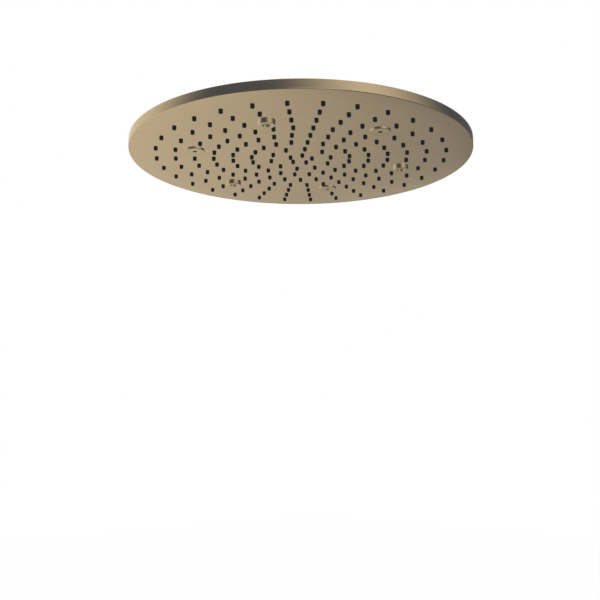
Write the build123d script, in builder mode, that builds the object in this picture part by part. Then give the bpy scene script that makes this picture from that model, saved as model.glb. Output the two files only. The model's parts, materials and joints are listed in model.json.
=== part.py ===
"""Round overhead shower head on a ball joint, in millimetres.

The origin is the mouth of the inlet thread, on its axis. +Z points up the supply pipe, and the spray face looks down.
"""
import os
from math import acos, asin, cos, degrees, radians, sin, sqrt, tan

from build123d import *

os.makedirs("parts", exist_ok=True)

# Head disc
head_diameter = 400.0
rim_height = 10.5
rim_wall = 1.5
face_thickness = 1.2
face_edge_radius = 0.8
rim_top_chamfer = 0.3
back_thickness = 1.2
back_recess = 0.5
disc_clearance = 0.2

# Nozzle field, with ring radii as shares of the head's radius
first_ring_share = 0.0666
last_ring_share = 0.8471
ring_counts = (5, 10, 20, 25, 30, 30, 30, 30)
nozzle_diameter = 4.6
nozzle_length = 4.5
nozzle_sides = 8
nozzle_clearance = 0.15
mat_thickness = 1.8

# Pressure plate and water chamber
plate_thickness = 2.0
slot_width = 5.0
slot_bridge = 5.0
chamber_wall_width = 10.0
seal_width = 2.0
seal_depth = 1.6
seal_clearance = 0.2

# Back fasteners
screw_count = 12
screw_radius = 2.0
screw_head_radius = 3.8
screw_head_height = 2.2
screw_clearance = 0.1
standoff_width = 8.0
standoff_space = 12.5

# Jets, on every fifth place of one nozzle ring
jet_ring = 5
jet_spacing = 5
mist_angles = (30, 150, 270)
spout_angles = (90, 210, 330)
shank_radius = 7.5
shank_bore_radius = 5.6
jet_clearance = 0.2
jet_edge = 0.5
mist_radius = 11.0
mist_height = 2.4
mist_floor = 0.8
mist_hole_radius = 2.4
mist_pin_radius = 0.9
mist_pin_recess = 1.0
core_height = 3.2
core_slot_width = 1.6
spout_radius = 9.0
spout_height = 5.9
spout_bore_radius = 4.7
spout_shoulder = 2.6
insert_height = 4.0
insert_head_radius = 3.7
insert_head_recess = 1.3
insert_slot_width = 1.6
gasket_width = 1.6
gasket_thickness = 0.5
lock_nut_width = 20.0

# Ball joint
ball_radius = 11.0
ball_above_face = 22.0
neck_radius = 6.5
neck_fillet = 0.8
water_bore_radius = 5.0
ring_thickness = 1.2
ball_clearance = 0.2
seat_span = (102, 132)
liner_span = (58, 85)
lip_angle = 55
socket_radius = 15.0
socket_flange_radius = 24.0
socket_gasket_radius = 18.0
thread_clearance = 0.1
lock_ring_radius = 22.0
lock_ring_height = 3.5
lock_ring_notch = 4.0
collar_radius = 17.5
collar_top = 8.2
collar_chamfer = 2.0
collar_flats = 32.0

# Inlet nut, with a G 1/2 thread drawn at its minor diameter
nut_width = 24.0
nut_height = 20.0
nut_above_ball = 15.0
thread_radius = 9.32
thread_length = 11.0
washer_groove_radius = 10.6
washer_groove_height = 3.0
washer_thickness = 2.5
washer_clearance = 0.3
washer_hole_radius = 5.5
cartridge_radius = 7.8
cartridge_depth = 4.2
filter_thickness = 0.8
filter_opening = 1.2
regulator_port_radius = 1.3

# Levels
ball_z = -(nut_above_ball + nut_height)
face_z = ball_z - ball_above_face
face_inner_z = face_z + face_thickness
mat_top_z = face_inner_z + mat_thickness
plate_top_z = mat_top_z + plate_thickness
rim_top_z = face_z + rim_height
back_top_z = rim_top_z - back_recess
back_bottom_z = back_top_z - back_thickness
chamber_height = back_bottom_z - plate_top_z
lock_nut_height = 0.62 * chamber_height
shank_top_z = plate_top_z + 0.74 * chamber_height

# Radii of the head
head_radius = head_diameter / 2
rim_inner_radius = head_radius - rim_wall
chamber_radius = rim_inner_radius - standoff_space
chamber_inner_radius = chamber_radius - chamber_wall_width
seal_radius = chamber_radius - chamber_wall_width / 2
screw_circle_radius = rim_inner_radius - standoff_space / 2 - 0.75
first_ring_radius = first_ring_share * head_radius
ring_pitch = (last_ring_share - first_ring_share) * head_radius / (len(ring_counts) - 1)
ring_radii = [first_ring_radius + ring_pitch * ring for ring in range(len(ring_counts))]
jet_circle_radius = ring_radii[jet_ring]


def polar(radius, angle):
    """A point of the XY plane at a radius and an angle in degrees."""
    return (radius * cos(radians(angle)), radius * sin(radians(angle)))


def jet_frame(angle):
    """The upright plane through a jet's axis, with height 0 on the outer face, and that axis."""
    x, y = polar(jet_circle_radius, angle)
    out_x, out_y = polar(1, angle)
    plane = Plane(origin=(x, y, face_z), x_dir=(out_x, out_y, 0), z_dir=(out_y, -out_x, 0))
    return plane, Axis((x, y, face_z), (0, 0, 1))


def save(built, name):
    """Label a finished piece and write it."""
    built.part.label = name
    export_step(built.part, f"parts/{name}.step")


# Every ring has a place at 90 degrees, and on the jet ring each fifth place is a jet
nozzle_points = []
for ring, (ring_radius, count) in enumerate(zip(ring_radii, ring_counts)):
    for place in range(count):
        if ring != jet_ring or place % jet_spacing:
            nozzle_points.append(polar(ring_radius, 90 + 360 * place / count))
jet_points = [polar(jet_circle_radius, angle) for angle in mist_angles + spout_angles]

# Face pan: the spray face and the rim in one piece
with BuildPart() as face_pan:
    with BuildSketch(Plane.XY.offset(face_z)):
        Circle(head_radius)
    extrude(amount=rim_height)
    with BuildSketch(Plane.XY.offset(face_inner_z)):
        Circle(rim_inner_radius)
    extrude(amount=rim_height, mode=Mode.SUBTRACT)
    fillet(face_pan.edges().group_by(Axis.Z)[0], face_edge_radius)
    chamfer(face_pan.edges().group_by(Axis.Z)[-1], rim_top_chamfer)
    with BuildSketch(Plane.XY.offset(face_z)):
        with Locations(*nozzle_points):
            RegularPolygon(nozzle_diameter / 2 + nozzle_clearance, nozzle_sides)
        with Locations(*jet_points):
            Circle(shank_radius + jet_clearance)
    extrude(amount=face_thickness, mode=Mode.SUBTRACT)
save(face_pan, "face_pan")

# Nozzle mat: one silicone moulding whose nozzles stand through the face
with BuildPart() as nozzle_mat:
    with BuildSketch(Plane.XY.offset(face_inner_z)):
        Circle(chamber_radius)
        with Locations(*jet_points):
            Circle(shank_radius + jet_clearance, mode=Mode.SUBTRACT)
    extrude(amount=mat_thickness)
    with BuildSketch(Plane.XY.offset(face_inner_z)):
        with Locations(*nozzle_points):
            RegularPolygon(nozzle_diameter / 2, nozzle_sides)
    extrude(amount=-(face_thickness + nozzle_length))
save(nozzle_mat, "nozzle_mat")

# Pressure plate: clamps the mat, feeds each nozzle ring through arc slots and carries the chamber wall
with BuildPart() as pressure_plate:
    with BuildSketch(Plane.XY.offset(mat_top_z)):
        Circle(chamber_radius)
        with Locations(*jet_points):
            Circle(shank_radius + jet_clearance, mode=Mode.SUBTRACT)
    extrude(amount=plate_thickness)
    with BuildSketch(Plane.XY.offset(plate_top_z)):
        Circle(chamber_radius)
        Circle(chamber_inner_radius, mode=Mode.SUBTRACT)
    extrude(amount=chamber_height)
    with BuildSketch(Plane.XY.offset(back_bottom_z)):
        Circle(seal_radius + seal_width / 2 + seal_clearance)
        Circle(seal_radius - seal_width / 2 - seal_clearance, mode=Mode.SUBTRACT)
    extrude(amount=-seal_depth, mode=Mode.SUBTRACT)
    with BuildSketch(Plane.XY.offset(mat_top_z)):
        for ring_radius in reversed(ring_radii):
            Circle(ring_radius + slot_width / 2)
            Circle(ring_radius - slot_width / 2, mode=Mode.SUBTRACT)
        for ring, (ring_radius, count) in enumerate(zip(ring_radii, ring_counts)):
            if ring != jet_ring:
                with PolarLocations(ring_radius, 5, start_angle=90 + 180 / count):
                    Rectangle(2 * slot_width, slot_bridge, mode=Mode.SUBTRACT)
        with PolarLocations(jet_circle_radius, len(jet_points), start_angle=90):
            Rectangle(2 * slot_width, lock_nut_width * 1.3, mode=Mode.SUBTRACT)
    extrude(amount=plate_thickness, mode=Mode.SUBTRACT)
save(pressure_plate, "pressure_plate")

# Chamber seal: a square cord in the groove of the chamber wall
with BuildPart() as chamber_seal:
    with BuildSketch(Plane.XY.offset(back_bottom_z)):
        Circle(seal_radius + seal_width / 2)
        Circle(seal_radius - seal_width / 2, mode=Mode.SUBTRACT)
    extrude(amount=-seal_depth)
save(chamber_seal, "chamber_seal")

# Back plate, let into the rim
with BuildPart() as back_plate:
    with BuildSketch(Plane.XY.offset(back_bottom_z)):
        Circle(rim_inner_radius - disc_clearance)
        Circle(socket_radius + disc_clearance, mode=Mode.SUBTRACT)
        with PolarLocations(screw_circle_radius, screw_count, start_angle=15):
            Circle(screw_radius + screw_clearance, mode=Mode.SUBTRACT)
    extrude(amount=back_thickness)
save(back_plate, "back_plate")

# Hexagon standoffs, clinched into the pan, that take the back screws
with BuildPart() as standoffs:
    with BuildSketch(Plane.XY.offset(face_inner_z)):
        with PolarLocations(screw_circle_radius, screw_count, start_angle=15):
            RegularPolygon(standoff_width / 2, 6, major_radius=False)
    extrude(amount=back_bottom_z - face_inner_z)
    with BuildSketch(Plane.XY.offset(back_bottom_z)):
        with PolarLocations(screw_circle_radius, screw_count, start_angle=15):
            Circle(screw_radius + screw_clearance)
    extrude(amount=-0.8 * (back_bottom_z - face_inner_z), mode=Mode.SUBTRACT)
save(standoffs, "standoffs")

# Button-head screws of the back plate, each with a hexagon socket
with BuildPart() as back_screws:
    with BuildSketch(Plane.XY.offset(back_top_z)):
        with PolarLocations(screw_circle_radius, screw_count, start_angle=15):
            Circle(screw_head_radius)
    extrude(amount=screw_head_height)
    chamfer(back_screws.edges().group_by(Axis.Z)[-1], 0.35 * screw_head_height)
    with BuildSketch(Plane.XY.offset(back_top_z)):
        with PolarLocations(screw_circle_radius, screw_count, start_angle=15):
            Circle(screw_radius)
    extrude(amount=-(back_thickness + 0.6 * (back_bottom_z - face_inner_z)))
    with BuildSketch(Plane.XY.offset(back_top_z + screw_head_height)):
        with PolarLocations(screw_circle_radius, screw_count, start_angle=15):
            RegularPolygon(0.6 * screw_radius, 6, major_radius=False)
    extrude(amount=-0.55 * screw_head_height, mode=Mode.SUBTRACT)
save(back_screws, "back_screws")

# Heights of the jets above the outer face
shank_top = shank_top_z - face_z
mist_groove_outer = mist_radius - gasket_width / 2
mist_groove_inner = mist_groove_outer - gasket_width
spout_groove_outer = (shank_radius + spout_radius) / 2 + thread_clearance

# Mist jets: a low disc with a small hole, on a hollow shank through the face
for number, angle in enumerate(mist_angles, 1):
    plane, axis = jet_frame(angle)
    floor_top = mist_floor - mist_height
    with BuildPart() as mist_jet:
        with BuildSketch(plane):
            with BuildLine():
                Polyline(
                    (mist_hole_radius, -mist_height),
                    (mist_radius - jet_edge, -mist_height),
                    (mist_radius, jet_edge - mist_height),
                    (mist_radius, 0),
                    (mist_groove_outer, 0),
                    (mist_groove_outer, -gasket_thickness),
                    (mist_groove_inner, -gasket_thickness),
                    (mist_groove_inner, 0),
                    (shank_radius, 0),
                    (shank_radius, shank_top),
                    (shank_bore_radius, shank_top),
                    (shank_bore_radius, floor_top),
                    (mist_hole_radius, floor_top),
                    close=True,
                )
            make_face()
        revolve(axis=axis)
    save(mist_jet, f"mist_jet_{number}")

    with BuildPart() as mist_gasket:
        with BuildSketch(plane):
            with Locations(((mist_groove_inner + mist_groove_outer) / 2, -gasket_thickness / 2)):
                Rectangle(gasket_width - 2 * thread_clearance, gasket_thickness)
        revolve(axis=axis)
    save(mist_gasket, f"mist_gasket_{number}")

    with BuildPart() as mist_core:
        with BuildSketch(plane):
            with BuildLine():
                Polyline(
                    (0, mist_pin_recess - mist_height),
                    (mist_pin_radius, mist_pin_recess - mist_height),
                    (mist_pin_radius, floor_top + 0.4 * core_height),
                    (mist_hole_radius + 0.8, floor_top + 0.4 * core_height),
                    (mist_hole_radius + 0.8, floor_top),
                    (shank_bore_radius - jet_clearance, floor_top),
                    (shank_bore_radius - jet_clearance, floor_top + core_height),
                    (0, floor_top + core_height),
                    close=True,
                )
            make_face()
        revolve(axis=axis)
        with BuildSketch(Plane.XY.offset(face_z + floor_top)):
            with Locations(polar(jet_circle_radius, angle)):
                with PolarLocations(shank_bore_radius, 4):
                    Rectangle(4 * jet_clearance + 1.6, core_slot_width)
        extrude(amount=core_height, mode=Mode.SUBTRACT)
    save(mist_core, f"mist_core_{number}")

# Spouts: short tubes, each with a slotted insert whose round head leaves a ring-shaped outlet
for number, angle in enumerate(spout_angles, 1):
    plane, axis = jet_frame(angle)
    with BuildPart() as spout:
        with BuildSketch(plane):
            with BuildLine():
                Polyline(
                    (spout_bore_radius, -spout_height),
                    (spout_radius - jet_edge, -spout_height),
                    (spout_radius, jet_edge - spout_height),
                    (spout_radius, 0),
                    (spout_groove_outer, 0),
                    (spout_groove_outer, -gasket_thickness),
                    (shank_radius, -gasket_thickness),
                    (shank_radius, shank_top),
                    (shank_bore_radius, shank_top),
                    (shank_bore_radius, -spout_shoulder),
                    (spout_bore_radius, -spout_shoulder),
                    close=True,
                )
            make_face()
        revolve(axis=axis)
    save(spout, f"spout_{number}")

    with BuildPart() as spout_gasket:
        with BuildSketch(plane):
            with Locations(((shank_radius + spout_groove_outer) / 2, -gasket_thickness / 2)):
                Rectangle(spout_groove_outer - shank_radius - 2 * thread_clearance, gasket_thickness)
        revolve(axis=axis)
    save(spout_gasket, f"spout_gasket_{number}")

    with BuildPart() as spout_insert:
        insert_radius = shank_bore_radius - jet_clearance
        with BuildSketch(plane):
            with BuildLine():
                Polyline(
                    (0, insert_head_recess - spout_height),
                    (insert_head_radius, insert_head_recess - spout_height),
                    (insert_head_radius, -spout_shoulder),
                    (insert_radius, -spout_shoulder),
                    (insert_radius, insert_height - spout_shoulder),
                    (0, insert_height - spout_shoulder),
                    close=True,
                )
            make_face()
        revolve(axis=axis)
        with BuildSketch(Plane.XY.offset(face_z - spout_shoulder)):
            with Locations(polar(jet_circle_radius, angle)):
                with PolarLocations(shank_bore_radius, 6):
                    Rectangle(2 * (shank_bore_radius - insert_head_radius), insert_slot_width)
        extrude(amount=insert_height, mode=Mode.SUBTRACT)
    save(spout_insert, f"spout_insert_{number}")

# Thin hexagon nuts that lock the six jets onto the pressure plate
with BuildPart() as jet_lock_nuts:
    with BuildSketch(Plane.XY.offset(plate_top_z)):
        with Locations(*jet_points):
            RegularPolygon(lock_nut_width / 2, 6, major_radius=False)
        with Locations(*jet_points):
            Circle(shank_radius + thread_clearance, mode=Mode.SUBTRACT)
    extrude(amount=lock_nut_height)
save(jet_lock_nuts, "jet_lock_nuts")

# Ball joint, drawn in an upright plane with its origin at the ball's centre
joint_plane = Plane(origin=(0, 0, ball_z), x_dir=(1, 0, 0), z_dir=(0, -1, 0))
ring_inner_radius = ball_radius + ball_clearance
ring_outer_radius = ring_inner_radius + ring_thickness
cavity_radius = ring_outer_radius + ball_clearance
cavity_floor_angle = degrees(acos(water_bore_radius / cavity_radius))
flange_top = back_bottom_z - ball_z
flange_thickness = 0.5 * chamber_height
flange_bottom = flange_top - flange_thickness
socket_gasket_depth = 0.4 * flange_thickness
lock_ring_bottom = back_top_z - ball_z
lock_ring_top = lock_ring_bottom + lock_ring_height
collar_bottom = lock_ring_top + ball_clearance
collar_bore_radius = socket_radius + thread_clearance
nut_top = nut_above_ball + nut_height
washer_seat = nut_top - thread_length - washer_groove_height
cartridge_floor = washer_seat - cartridge_depth

# Ball socket: a flanged cup through the back plate, threaded outside
with BuildPart() as ball_socket:
    with BuildSketch(joint_plane):
        with BuildLine():
            cup = CenterArc((0, 0), cavity_radius, 0, -cavity_floor_angle)
            Polyline(
                cup @ 0,
                (socket_radius, 0),
                (socket_radius, flange_top),
                (socket_gasket_radius, flange_top),
                (socket_gasket_radius, flange_top - socket_gasket_depth),
                (socket_flange_radius - gasket_width, flange_top - socket_gasket_depth),
                (socket_flange_radius - gasket_width, flange_top),
                (socket_flange_radius, flange_top),
                (socket_flange_radius, flange_bottom),
                (water_bore_radius, flange_bottom),
                cup @ 1,
            )
        make_face()
    revolve(axis=Axis.Z)
save(ball_socket, "ball_socket")

# Socket gasket, between the flange and the back plate
with BuildPart() as socket_gasket:
    with BuildSketch(Plane.XY.offset(back_bottom_z)):
        Circle(socket_flange_radius - gasket_width - thread_clearance)
        Circle(socket_gasket_radius + thread_clearance, mode=Mode.SUBTRACT)
    extrude(amount=-socket_gasket_depth)
save(socket_gasket, "socket_gasket")

# Lock ring: clamps the socket to the back plate, with four notches for a spanner
with BuildPart() as lock_ring:
    with BuildSketch(Plane.XY.offset(back_top_z)):
        Circle(lock_ring_radius)
        Circle(collar_bore_radius, mode=Mode.SUBTRACT)
        with PolarLocations(lock_ring_radius, 4, start_angle=45):
            Rectangle(lock_ring_notch, lock_ring_notch, mode=Mode.SUBTRACT)
    extrude(amount=lock_ring_height)
save(lock_ring, "lock_ring")

# Collar nut: holds the ball down, with an open cone for the neck's travel and two wrench flats
with BuildPart() as collar_nut:
    with BuildSketch(joint_plane):
        with BuildLine():
            start = degrees(asin(ball_clearance / cavity_radius))
            dome = CenterArc((0, 0), cavity_radius, start, 90 - lip_angle - start)
            Polyline(
                dome @ 1,
                (collar_top * tan(radians(lip_angle)), collar_top),
                (collar_radius - collar_chamfer, collar_top),
                (collar_radius, collar_top - collar_chamfer),
                (collar_radius, collar_bottom),
                (collar_bore_radius, collar_bottom),
                (collar_bore_radius, ball_clearance),
                dome @ 0,
            )
        make_face()
    revolve(axis=Axis.Z)
    with BuildSketch(Plane.XY.offset(ball_z + collar_bottom)):
        with Locations((0, collar_flats), (0, -collar_flats)):
            Rectangle(2 * collar_flats, collar_flats)
    extrude(amount=0.6 * (collar_top - collar_bottom), mode=Mode.SUBTRACT)
save(collar_nut, "collar_nut")

# Ball seat below the ball and ball liner above it: spherical rings between the ball and its housing
for name, span in (("ball_seat", seat_span), ("ball_liner", liner_span)):
    with BuildPart() as ball_ring:
        with BuildSketch(joint_plane):
            with BuildLine():
                inside = CenterArc((0, 0), ring_inner_radius, 90 - span[0], span[0] - span[1])
                outside = CenterArc((0, 0), ring_outer_radius, 90 - span[0], span[0] - span[1])
                Line(inside @ 0, outside @ 0)
                Line(inside @ 1, outside @ 1)
            make_face()
        revolve(axis=Axis.Z)
    save(ball_ring, name)

# Swivel ball: the ball, its neck and the inlet nut turned from one bar, with the waterway through them
with BuildPart() as swivel_ball:
    with BuildSketch(joint_plane) as ball_profile:
        neck_start = degrees(acos(neck_radius / ball_radius))
        ball_end = -degrees(acos(water_bore_radius / ball_radius))
        with BuildLine():
            surface = CenterArc((0, 0), ball_radius, ball_end, neck_start - ball_end)
            Polyline(
                surface @ 1,
                (neck_radius, nut_above_ball),
                (water_bore_radius, nut_above_ball),
                surface @ 0,
            )
        make_face()
        fillet(ball_profile.vertices().sort_by_distance(surface @ 1)[0], neck_fillet)
    revolve(axis=Axis.Z)
    with BuildSketch(Plane.XY.offset(ball_z + nut_above_ball)):
        RegularPolygon(nut_width / 2, 6, major_radius=False)
    extrude(amount=nut_height)
    with BuildSketch(joint_plane):
        reach = nut_width / 2 + nut_width / 4
        drop = nut_width / 4 * tan(radians(30))
        with BuildLine():
            Polyline((nut_width / 2, nut_top), (reach, nut_top), (reach, nut_top - drop), close=True)
        make_face()
        with BuildLine():
            Polyline(
                (nut_width / 2, nut_above_ball),
                (reach, nut_above_ball),
                (reach, nut_above_ball + drop),
                close=True,
            )
        make_face()
    revolve(axis=Axis.Z, mode=Mode.SUBTRACT)
    with BuildSketch(joint_plane):
        with BuildLine():
            Polyline(
                (0, nut_top),
                (thread_radius, nut_top),
                (thread_radius, nut_top - thread_length),
                (washer_groove_radius, nut_top - thread_length),
                (washer_groove_radius, washer_seat),
                (cartridge_radius, washer_seat),
                (cartridge_radius, cartridge_floor),
                (water_bore_radius, cartridge_floor),
                (water_bore_radius, -ball_radius),
                (0, -ball_radius),
                close=True,
            )
        make_face()
    revolve(axis=Axis.Z, mode=Mode.SUBTRACT)
save(swivel_ball, "swivel_ball")

# Inlet washer, snapped into the groove under the thread
with BuildPart() as inlet_washer:
    with BuildSketch(Plane.XY.offset(ball_z + washer_seat)):
        Circle(washer_groove_radius - washer_clearance)
        Circle(washer_hole_radius, mode=Mode.SUBTRACT)
    extrude(amount=washer_thickness)
save(inlet_washer, "inlet_washer")

# Flow regulator: a disc with a ring of ports at the bottom of its pocket
regulator_height = cartridge_depth - filter_thickness - washer_clearance
with BuildPart() as flow_regulator:
    with BuildSketch(Plane.XY.offset(ball_z + cartridge_floor)):
        Circle(cartridge_radius - washer_clearance)
        with PolarLocations(water_bore_radius - 1.2 * regulator_port_radius, 6):
            RegularPolygon(regulator_port_radius, 8, mode=Mode.SUBTRACT)
    extrude(amount=regulator_height)
save(flow_regulator, "flow_regulator")

# Filter screen: a flat grid on top of the regulator
with BuildPart() as filter_screen:
    with BuildSketch(Plane.XY.offset(ball_z + cartridge_floor + regulator_height)):
        Circle(cartridge_radius - washer_clearance)
        with GridLocations(1.8 * filter_opening, 1.8 * filter_opening, 5, 5):
            Rectangle(filter_opening, filter_opening, mode=Mode.SUBTRACT)
    extrude(amount=filter_thickness)
save(filter_screen, "filter_screen")
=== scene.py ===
"""Dress a round overhead shower head: bronze pan, moulded nozzles, jets, ball joint and studio."""
import json
from math import pi, radians

import bmesh
import bpy
import numpy as np
from mathutils import Matrix, Vector
from mathutils.geometry import delaunay_2d_cdt


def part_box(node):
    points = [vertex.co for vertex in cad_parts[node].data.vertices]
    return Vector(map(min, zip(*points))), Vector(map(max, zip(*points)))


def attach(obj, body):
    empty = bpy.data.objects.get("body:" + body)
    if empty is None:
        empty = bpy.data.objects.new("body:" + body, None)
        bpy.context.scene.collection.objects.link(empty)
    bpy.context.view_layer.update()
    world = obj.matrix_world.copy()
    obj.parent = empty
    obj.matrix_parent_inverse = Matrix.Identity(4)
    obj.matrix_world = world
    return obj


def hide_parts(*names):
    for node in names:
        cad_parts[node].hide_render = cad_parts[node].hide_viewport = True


bl_info = {
    "name": "Overhead shower head",
    "version": (1, 0, 0),
    "blender": (4, 5, 0),
    "location": "View3D > Sidebar > Shower head",
    "description": "Builds the visible pieces of a round shower head on its CAD frame",
    "category": "Object",
}

MM = 0.001

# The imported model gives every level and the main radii
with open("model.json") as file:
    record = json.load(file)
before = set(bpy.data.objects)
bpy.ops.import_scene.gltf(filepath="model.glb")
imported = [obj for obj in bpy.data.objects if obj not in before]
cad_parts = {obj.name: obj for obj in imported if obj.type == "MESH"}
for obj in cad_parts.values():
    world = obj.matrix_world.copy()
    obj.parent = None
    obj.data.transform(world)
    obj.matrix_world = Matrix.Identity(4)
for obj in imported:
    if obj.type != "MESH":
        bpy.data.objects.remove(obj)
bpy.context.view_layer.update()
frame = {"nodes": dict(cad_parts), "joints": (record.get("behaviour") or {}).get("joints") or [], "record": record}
PAN_LOW, PAN_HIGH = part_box("face_pan")
MAT_LOW, MAT_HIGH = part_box("nozzle_mat")
FACE_Z = PAN_LOW.z
HEAD_RADIUS = max(PAN_HIGH.x, PAN_HIGH.y)
FACE_INNER_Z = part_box("standoffs")[0].z
BACK_TOP_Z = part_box("back_plate")[1].z
SHANK_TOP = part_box("mist_jet_1")[1].z - FACE_Z
BALL_Z = frame["joints"][0]["pos_m"][2]
NUT_TOP_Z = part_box("swivel_ball")[1].z

# Rings of nozzles, with radii as shares of the head's radius, and the ring whose fifth places are jets
RING_COUNTS = (5, 10, 20, 25, 30, 30, 30, 30)
RING_START = 90
FIRST_RING_SHARE = 0.0666
LAST_RING_SHARE = 0.8471
JET_RING = 5
JET_SPACING = 5
MIST_ANGLES = (30, 150, 270)
SPOUT_ANGLES = (90, 210, 330)
SCREW_COUNT = 12
SCREW_START = 15
HEAD_AXIS = np.zeros((1, 2))

# Facets round each kind of circle
RIM_FACETS = 288
MAT_FACETS = 180
HOLE_FACETS = 16
NOZZLE_FACETS = 14
JET_HOLE_FACETS = 48
JET_FACETS = 96
PIN_FACETS = 48
PLUG_FACETS = 64
SCREW_FACETS = 48
COLLAR_FACETS = 288
SWIVEL_FACETS = 192

# Angles in degrees past which an edge is drawn sharp
CREASE = 35
MAT_CREASE = 50
COLLAR_CREASE = 30
SWIVEL_CREASE = 28


def length(name, description, millimetres):
    """A size property in metres, with its default given in millimetres."""
    return bpy.props.FloatProperty(
        name=name, description=description, default=millimetres * MM, unit="LENGTH"
    )


def hex_colour(name, description, code):
    """A colour property that holds an sRGB hex value."""
    return bpy.props.StringProperty(name=name, description=description, default=code)


class ShowerHeadSizes(bpy.types.PropertyGroup):
    """Sizes of the visible pieces that the frame doesn't give."""

    nozzle_diameter: length("Nozzle diameter", "Across a nozzle where it leaves the face", 4.6)
    nozzle_tip: length("Nozzle tip", "Across a nozzle above its rounded end", 4.6)
    nozzle_outlet: length("Nozzle outlet", "Across the water outlet in the tip", 1.1)
    hole_gap: length("Hole gap", "Between a nozzle and its hole in the face", 0.15)
    hole_edge: length("Hole edge", "Broken edge of each hole in the face", 0.12)
    face_edge: length("Face edge", "Rounding between the face and the rim", 0.8)
    rim_edge: length("Rim edge", "Rounding on the rim's upper edges", 0.3)
    rim_wall: length("Rim wall", "Thickness of the rim", 1.5)
    mist_radius: length("Mist disc radius", "Outer radius of the low jets", 11.0)
    mist_height: length("Mist disc height", "How far the low jets stand out", 2.4)
    mist_hole: length("Mist hole", "Radius of the hole in a low jet", 2.4)
    spout_radius: length("Spout radius", "Outer radius of the spouts", 9.0)
    spout_height: length("Spout height", "How far the spouts stand out", 5.9)
    spout_bore: length("Spout bore", "Radius of a spout's mouth", 4.7)
    shank_radius: length("Shank radius", "Threaded shank of a jet", 7.5)
    shank_bore: length("Shank bore", "Bore of a jet's shank", 5.6)
    screw_head: length("Screw head", "Radius of a back screw's head", 3.8)
    screw_circle: length("Screw circle", "Radius of the circle of back screws", 191.5)
    thread_pitch: length("Thread pitch", "Pitch of the inlet thread", 1.814)
    thread_depth: length("Thread depth", "Depth of the inlet thread", 1.0)
    camera_lens: bpy.props.FloatProperty(
        name="Lens", description="Focal length in millimetres", default=51.31
    )


class ShowerHeadColours(bpy.types.PropertyGroup):
    """Colours of the finishes, and for coated metal the colour at a grazing angle."""

    bronze: hex_colour("Bronze", "Coated satin bronze", "#C6B08B")
    bronze_line: hex_colour("Bronze line", "Brushing lines in the satin bronze", "#BFA884")
    brushed_edge: hex_colour("Brushed edge", "Brushed bronze at a grazing angle", "#FAF5EA")
    turned_edge: hex_colour("Turned edge", "Turned bronze at a grazing angle", "#F9F2E6")
    jet_bronze: hex_colour("Jet bronze", "Polished bronze of the jets", "#BDA580")
    jet_haze: hex_colour("Jet haze", "Buffing haze on the jets", "#B59D79")
    jet_edge: hex_colour("Jet edge", "Polished bronze at a grazing angle", "#FCF9F3")
    # Painted shade: a darker bronze on the spout inserts stands in for the shade deep in a spout's mouth, with a
    # darker random grain and a dimmer colour at a grazing angle
    dull: hex_colour("Dull bronze", "Dull bronze in the spouts", "#83735A")
    plug_shade_grain: hex_colour("Dull stain", "Water stain on the dull bronze", "#7A6A52")
    plug_shade_edge: hex_colour("Dull edge", "Dull bronze at a grazing angle", "#EBDCC4")
    # Painted shade: a dark brown that stands in for the shade inside the jets and the inlet, with a darker random
    # grain
    painted_inner_shade: hex_colour("Tarnish", "Tarnished metal inside the jets", "#4A4038")
    painted_inner_shade_grain: hex_colour("Tarnish stain", "Darker spots in the tarnish", "#3E352F")
    silicone: hex_colour("Silicone", "Nozzle rubber", "#141310")
    silicone_bloom: hex_colour("Silicone bloom", "Paler bloom on the nozzle rubber", "#1D1B17")
    rubber: hex_colour("Rubber", "Seals and washers", "#1B1B1B")
    acetal: hex_colour("Acetal", "Moulded inner pieces", "#D8D6CE")
    acetal_grain: hex_colour("Acetal grain", "Darker grain of the moulded pieces", "#CFCDC4")
    brass: hex_colour("Brass", "Plain turned brass", "#B9975A")
    brass_line: hex_colour("Brass line", "Lathe marks in the brass", "#AC8B50")
    steel: hex_colour("Steel", "Plain stainless steel", "#A9A9A7")
    steel_grain: hex_colour("Steel grain", "Darker grain of the steel", "#9C9C9A")


def sizes():
    """The size properties of the open scene."""
    return bpy.context.scene.shower_head_sizes


def colours():
    """The colour properties of the open scene."""
    return bpy.context.scene.shower_head_colours


def linear(code):
    """An sRGB hex value as a linear colour with alpha 1."""
    channels = np.array([int(code[i : i + 2], 16) / 255 for i in (1, 3, 5)])
    curve = np.where(channels <= 0.04045, channels / 12.92, ((channels + 0.055) / 1.055) ** 2.4)
    return (*curve.tolist(), 1.0)


# Geometry

# Points closer than the merging distance become one, and the triangulation works to its own tolerance
MERGING_DISTANCE = 0.002 * MM
TRIANGULATION_TOLERANCE = 1e-7
INSIDE_HOLE_SHARE = 0.999


def around(radius, degrees):
    """Points on a circle about the head's axis."""
    turn = np.radians(np.asarray(degrees, float))
    return np.column_stack([radius * np.cos(turn), radius * np.sin(turn)])


def circle(radius, count):
    """Even points all round a circle about the head's axis."""
    return around(radius, np.arange(count) * 360 / count)


def even_turns(count):
    """Even angles all round, in radians."""
    return np.linspace(0, 2 * pi, count, endpoint=False)


def carried_round(values, count):
    """A grid with one value for each row, the same in every column."""
    return np.repeat(np.asarray(values)[:, None], count, 1)


def hexagon(apothem, turn):
    """Reach of a hexagon: its apothem over the cosine of the angle from the nearest flat's middle."""
    return apothem / np.cos(np.mod(turn, pi / 3) - pi / 6)


def ring_places():
    """Centres of the nozzles, in even rings from one start angle, and the radius of the jets' ring."""
    radii = np.linspace(FIRST_RING_SHARE, LAST_RING_SHARE, len(RING_COUNTS)) * HEAD_RADIUS
    nozzles = []
    for ring, count in enumerate(RING_COUNTS):
        places = np.arange(count)
        if ring == JET_RING:
            places = places[places % JET_SPACING > 0]
        nozzles.append(around(radii[ring], RING_START + 360 * places / count))
    return np.vstack(nozzles), radii[JET_RING]


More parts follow.
